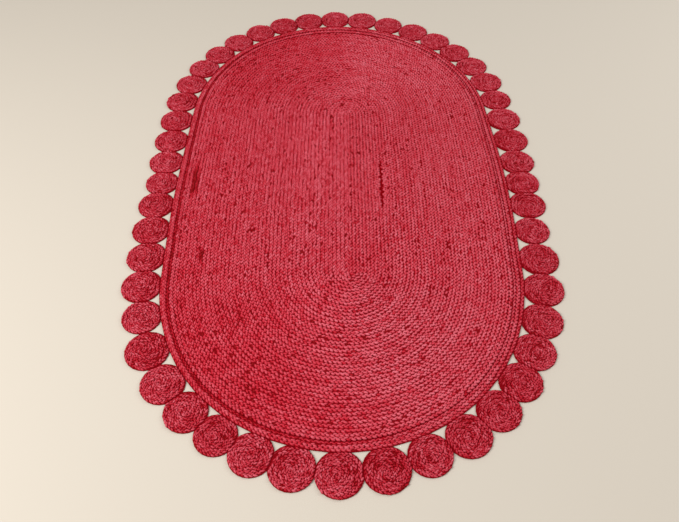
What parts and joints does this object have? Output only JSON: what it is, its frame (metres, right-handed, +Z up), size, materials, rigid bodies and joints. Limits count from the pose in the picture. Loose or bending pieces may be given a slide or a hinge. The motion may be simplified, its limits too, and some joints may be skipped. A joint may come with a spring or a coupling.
{
  "type": "oval coiled braid rug",
  "caption": "Flat oval rug coiled from a continuous plait, with raised and sunk border rounds and an edge of small coiled discs sewn side by side. It covers a floor.",
  "frame": {"origin": "middle of the rug's box, on its underside", "axes": "+Y along the rug's length, +X across it, +Z up from the floor"},
  "size_m": [1.5492, 2.4828, 0.012],
  "materials": {
    "field_braid": "crimson dyed plait of plant fibre, matt, coiled and sewn edge to edge",
    "border_braid": "crimson dyed plait of plant fibre, matt, in closed rounds",
    "disc_braid": "deeper crimson dyed plait of plant fibre, matt, wound in flat coils"
  },
  "bodies": {
    "root": {"field_coil": "field_braid", "inner_raised_round": "border_braid", "sunk_round": "border_braid", "outer_raised_round": "border_braid", "edge_round": "border_braid", "disc_01": "disc_braid", "disc_02": "disc_braid", "disc_03": "disc_braid", "disc_04": "disc_braid", "disc_05": "disc_braid", "disc_06": "disc_braid", "disc_07": "disc_braid", "disc_08": "disc_braid", "disc_09": "disc_braid", "disc_10": "disc_braid", "disc_11": "disc_braid", "disc_12": "disc_braid", "disc_13": "disc_braid", "disc_14": "disc_braid", "disc_15": "disc_braid", "disc_16": "disc_braid", "disc_17": "disc_braid", "disc_18": "disc_braid", "disc_19": "disc_braid", "disc_20": "disc_braid", "disc_21": "disc_braid", "disc_22": "disc_braid", "disc_23": "disc_braid", "disc_24": "disc_braid", "disc_25": "disc_braid", "disc_26": "disc_braid", "disc_27": "disc_braid", "disc_28": "disc_braid", "disc_29": "disc_braid", "disc_30": "disc_braid", "disc_31": "disc_braid", "disc_32": "disc_braid", "disc_33": "disc_braid", "disc_34": "disc_braid", "disc_35": "disc_braid", "disc_36": "disc_braid", "disc_37": "disc_braid", "disc_38": "disc_braid", "disc_39": "disc_braid", "disc_40": "disc_braid", "disc_41": "disc_braid", "disc_42": "disc_braid", "disc_43": "disc_braid", "disc_44": "disc_braid", "disc_45": "disc_braid", "disc_46": "disc_braid", "disc_47": "disc_braid", "disc_48": "disc_braid"}
  },
  "joints": []
}
